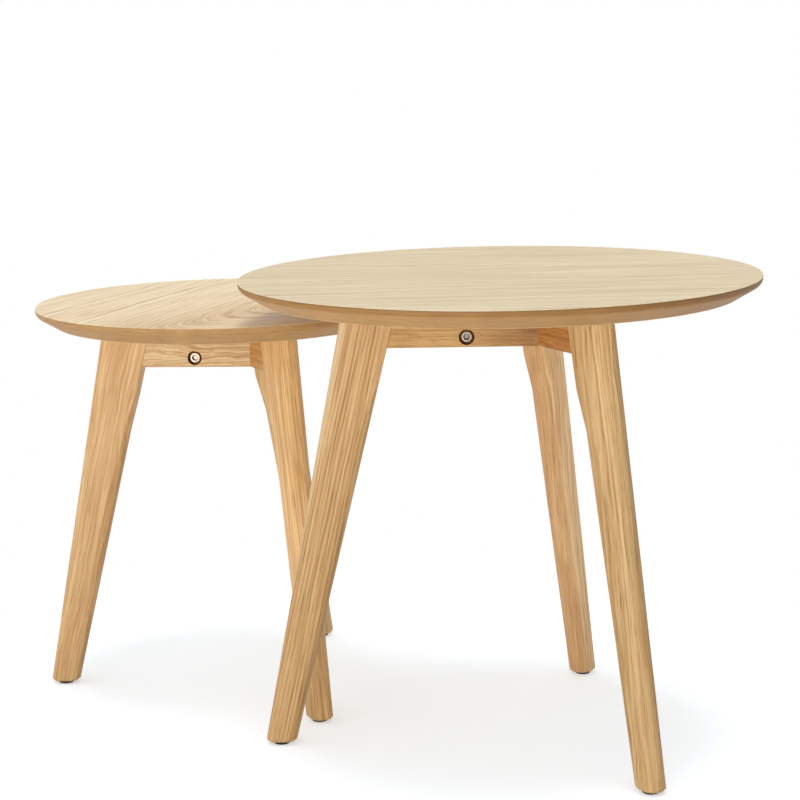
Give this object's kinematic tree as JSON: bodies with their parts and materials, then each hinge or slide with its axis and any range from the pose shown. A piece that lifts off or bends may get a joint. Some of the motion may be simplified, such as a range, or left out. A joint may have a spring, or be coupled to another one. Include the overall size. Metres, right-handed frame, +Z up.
{
  "type": "nesting tables",
  "caption": "Round oak nesting tables with bevelled tops on splayed, tapered legs joined by pinwheel rails; the smaller one slides under the larger.",
  "frame": {"origin": "on the floor, in the middle of the box around both tables as they stand in the picture", "axes": "+Z up; +X from the small table's side towards the large table's side, the picture's right; +Y away from the viewer"},
  "size_m": [0.7258, 0.652, 0.456],
  "materials": {
    "oak_veneer": "matt lacquered pale oak veneer",
    "edge_board": "stained and lacquered fibreboard edge",
    "backing_veneer": "plain balancing veneer",
    "oak_leg": "matt lacquered solid oak, grain along the leg",
    "oak_rail": "matt lacquered solid oak, grain along the rail",
    "dowel_wood": "plain beech",
    "bolt_steel": "bright zinc plate",
    "washer_steel": "black oxide",
    "insert_steel": "zinc plate",
    "screw_steel": "zinc plate",
    "glide_plastic": "dark matt plastic",
    "nail_steel": "bare steel"
  },
  "bodies": {
    "large_table": {"large_top_core": "edge_board", "large_top_veneer": "oak_veneer", "large_top_backing": "backing_veneer", "large_frame_bolts": "bolt_steel", "large_bolt_washers": "washer_steel", "large_bolt_inserts": "insert_steel", "large_rail_dowels": "dowel_wood", "large_leg_dowels": "dowel_wood", "large_top_screws": "screw_steel", "large_glide_nails": "nail_steel", "large_rail_left": "oak_rail", "large_leg_left": "oak_leg", "large_glide_left": "glide_plastic", "large_rail_right": "oak_rail", "large_leg_right": "oak_leg", "large_glide_right": "glide_plastic", "large_rail_back": "oak_rail", "large_leg_back": "oak_leg", "large_glide_back": "glide_plastic"},
    "small_table": {"small_top_core": "edge_board", "small_top_veneer": "oak_veneer", "small_top_backing": "backing_veneer", "small_frame_bolts": "bolt_steel", "small_bolt_washers": "washer_steel", "small_bolt_inserts": "insert_steel", "small_rail_dowels": "dowel_wood", "small_leg_dowels": "dowel_wood", "small_top_screws": "screw_steel", "small_glide_nails": "nail_steel", "small_rail_left": "oak_rail", "small_leg_left": "oak_leg", "small_glide_left": "glide_plastic", "small_rail_right": "oak_rail", "small_leg_right": "oak_leg", "small_glide_right": "glide_plastic", "small_rail_back": "oak_rail", "small_leg_back": "oak_leg", "small_glide_back": "glide_plastic"}
  },
  "joints": [
    {"name": "small_table_slide", "type": "slide", "parent": "large_table", "child": "small_table", "axis": [-0.8045, 0.5939, 0], "range_m": [-0.05, 0.25]}
  ]
}
